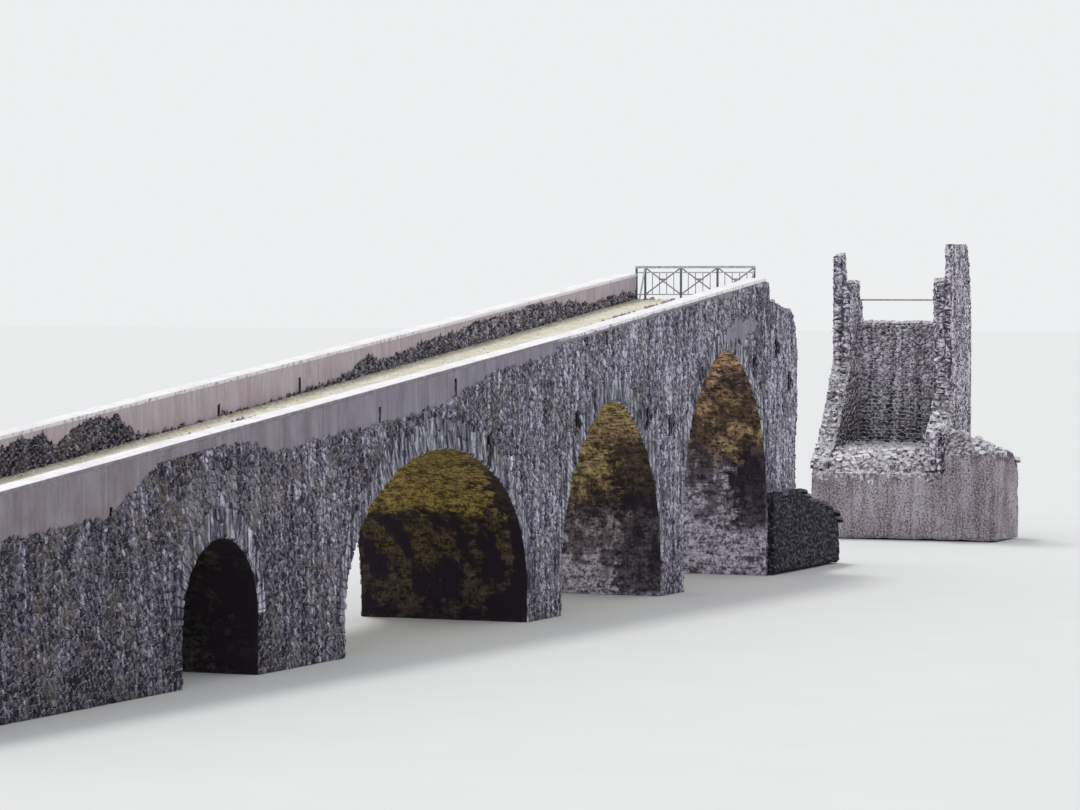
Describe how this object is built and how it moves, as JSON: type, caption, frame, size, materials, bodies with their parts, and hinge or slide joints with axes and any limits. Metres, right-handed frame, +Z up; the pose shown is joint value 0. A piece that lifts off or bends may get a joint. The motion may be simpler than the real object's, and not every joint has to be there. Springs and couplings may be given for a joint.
{
  "type": "scale model of a ruined stone arch bridge",
  "caption": "Scale model, one to ten, of a ruined humped road bridge in rubble stone, with arches of several shapes, parapets, a railing at its broken end and the stump of the pier beyond.",
  "frame": {"origin": "on the ground plane, below the middle of the whole bridge with its detached pier", "axes": "+X along the bridge, up the road towards the broken end; +Y from the near face to the far face; +Z up"},
  "size_m": [8.25, 0.773, 1.126],
  "materials": {
    "wall_rubble": "weathered rubble masonry in lime mortar, with patches of grey cement render and dark streaks",
    "pier_stone": "coarse dark rubble with worn mortar",
    "vault_stone": "coursed stone, ochre and stained black underneath, grey on the outer faces",
    "core_fill": "rough stone and mortar fill",
    "road": "pale sandy gravel worn into the road",
    "near_render": "grey cement render with brown and pale vertical streaks",
    "far_render": "pinkish brown render worn off along its foot",
    "coping": "pale weathered coping",
    "railing_paint": "grey green paint, worn pale",
    "ruin_base_stone": "brown grey render over rubble, pale streaks",
    "ruin_rubble_stone": "light grey rubble, broken edges bleached pale",
    "pipe_paint": "dull rusty paint"
  },
  "bodies": {
    "root": {"ramp_end_wall": "wall_rubble", "ramp_near_wall": "wall_rubble", "ramp_far_wall": "wall_rubble", "near_spandrel_1": "wall_rubble", "near_spandrel_2": "wall_rubble", "near_spandrel_3": "wall_rubble", "near_spandrel_4": "wall_rubble", "far_spandrel_1": "wall_rubble", "far_spandrel_2": "wall_rubble", "far_spandrel_3": "wall_rubble", "far_spandrel_4": "wall_rubble", "west_abutment": "pier_stone", "pier_a": "pier_stone", "pier_b": "pier_stone", "pier_c": "pier_stone", "pier_d": "pier_stone", "river_footing": "pier_stone", "vault_1": "vault_stone", "vault_2": "vault_stone", "vault_3": "vault_stone", "vault_4": "vault_stone", "ramp_fill": "core_fill", "core_fill_1": "core_fill", "core_fill_2": "core_fill", "core_fill_3": "core_fill", "core_fill_4": "core_fill", "road_surface": "road", "near_parapet_west": "near_render", "near_parapet_east": "near_render", "far_parapet_west": "far_render", "far_parapet_east": "far_render", "near_coping": "coping", "far_coping": "coping", "railing_posts": "railing_paint", "railing_rails": "railing_paint", "railing_braces": "railing_paint", "ruin_base": "ruin_base_stone", "ruin_cutwater": "ruin_base_stone", "ruin_near_wall": "ruin_rubble_stone", "ruin_far_wall": "ruin_rubble_stone", "ruin_back_wall": "ruin_rubble_stone", "ruin_rubble": "ruin_rubble_stone", "ruin_pipe_rail": "pipe_paint"}
  },
  "joints": []
}
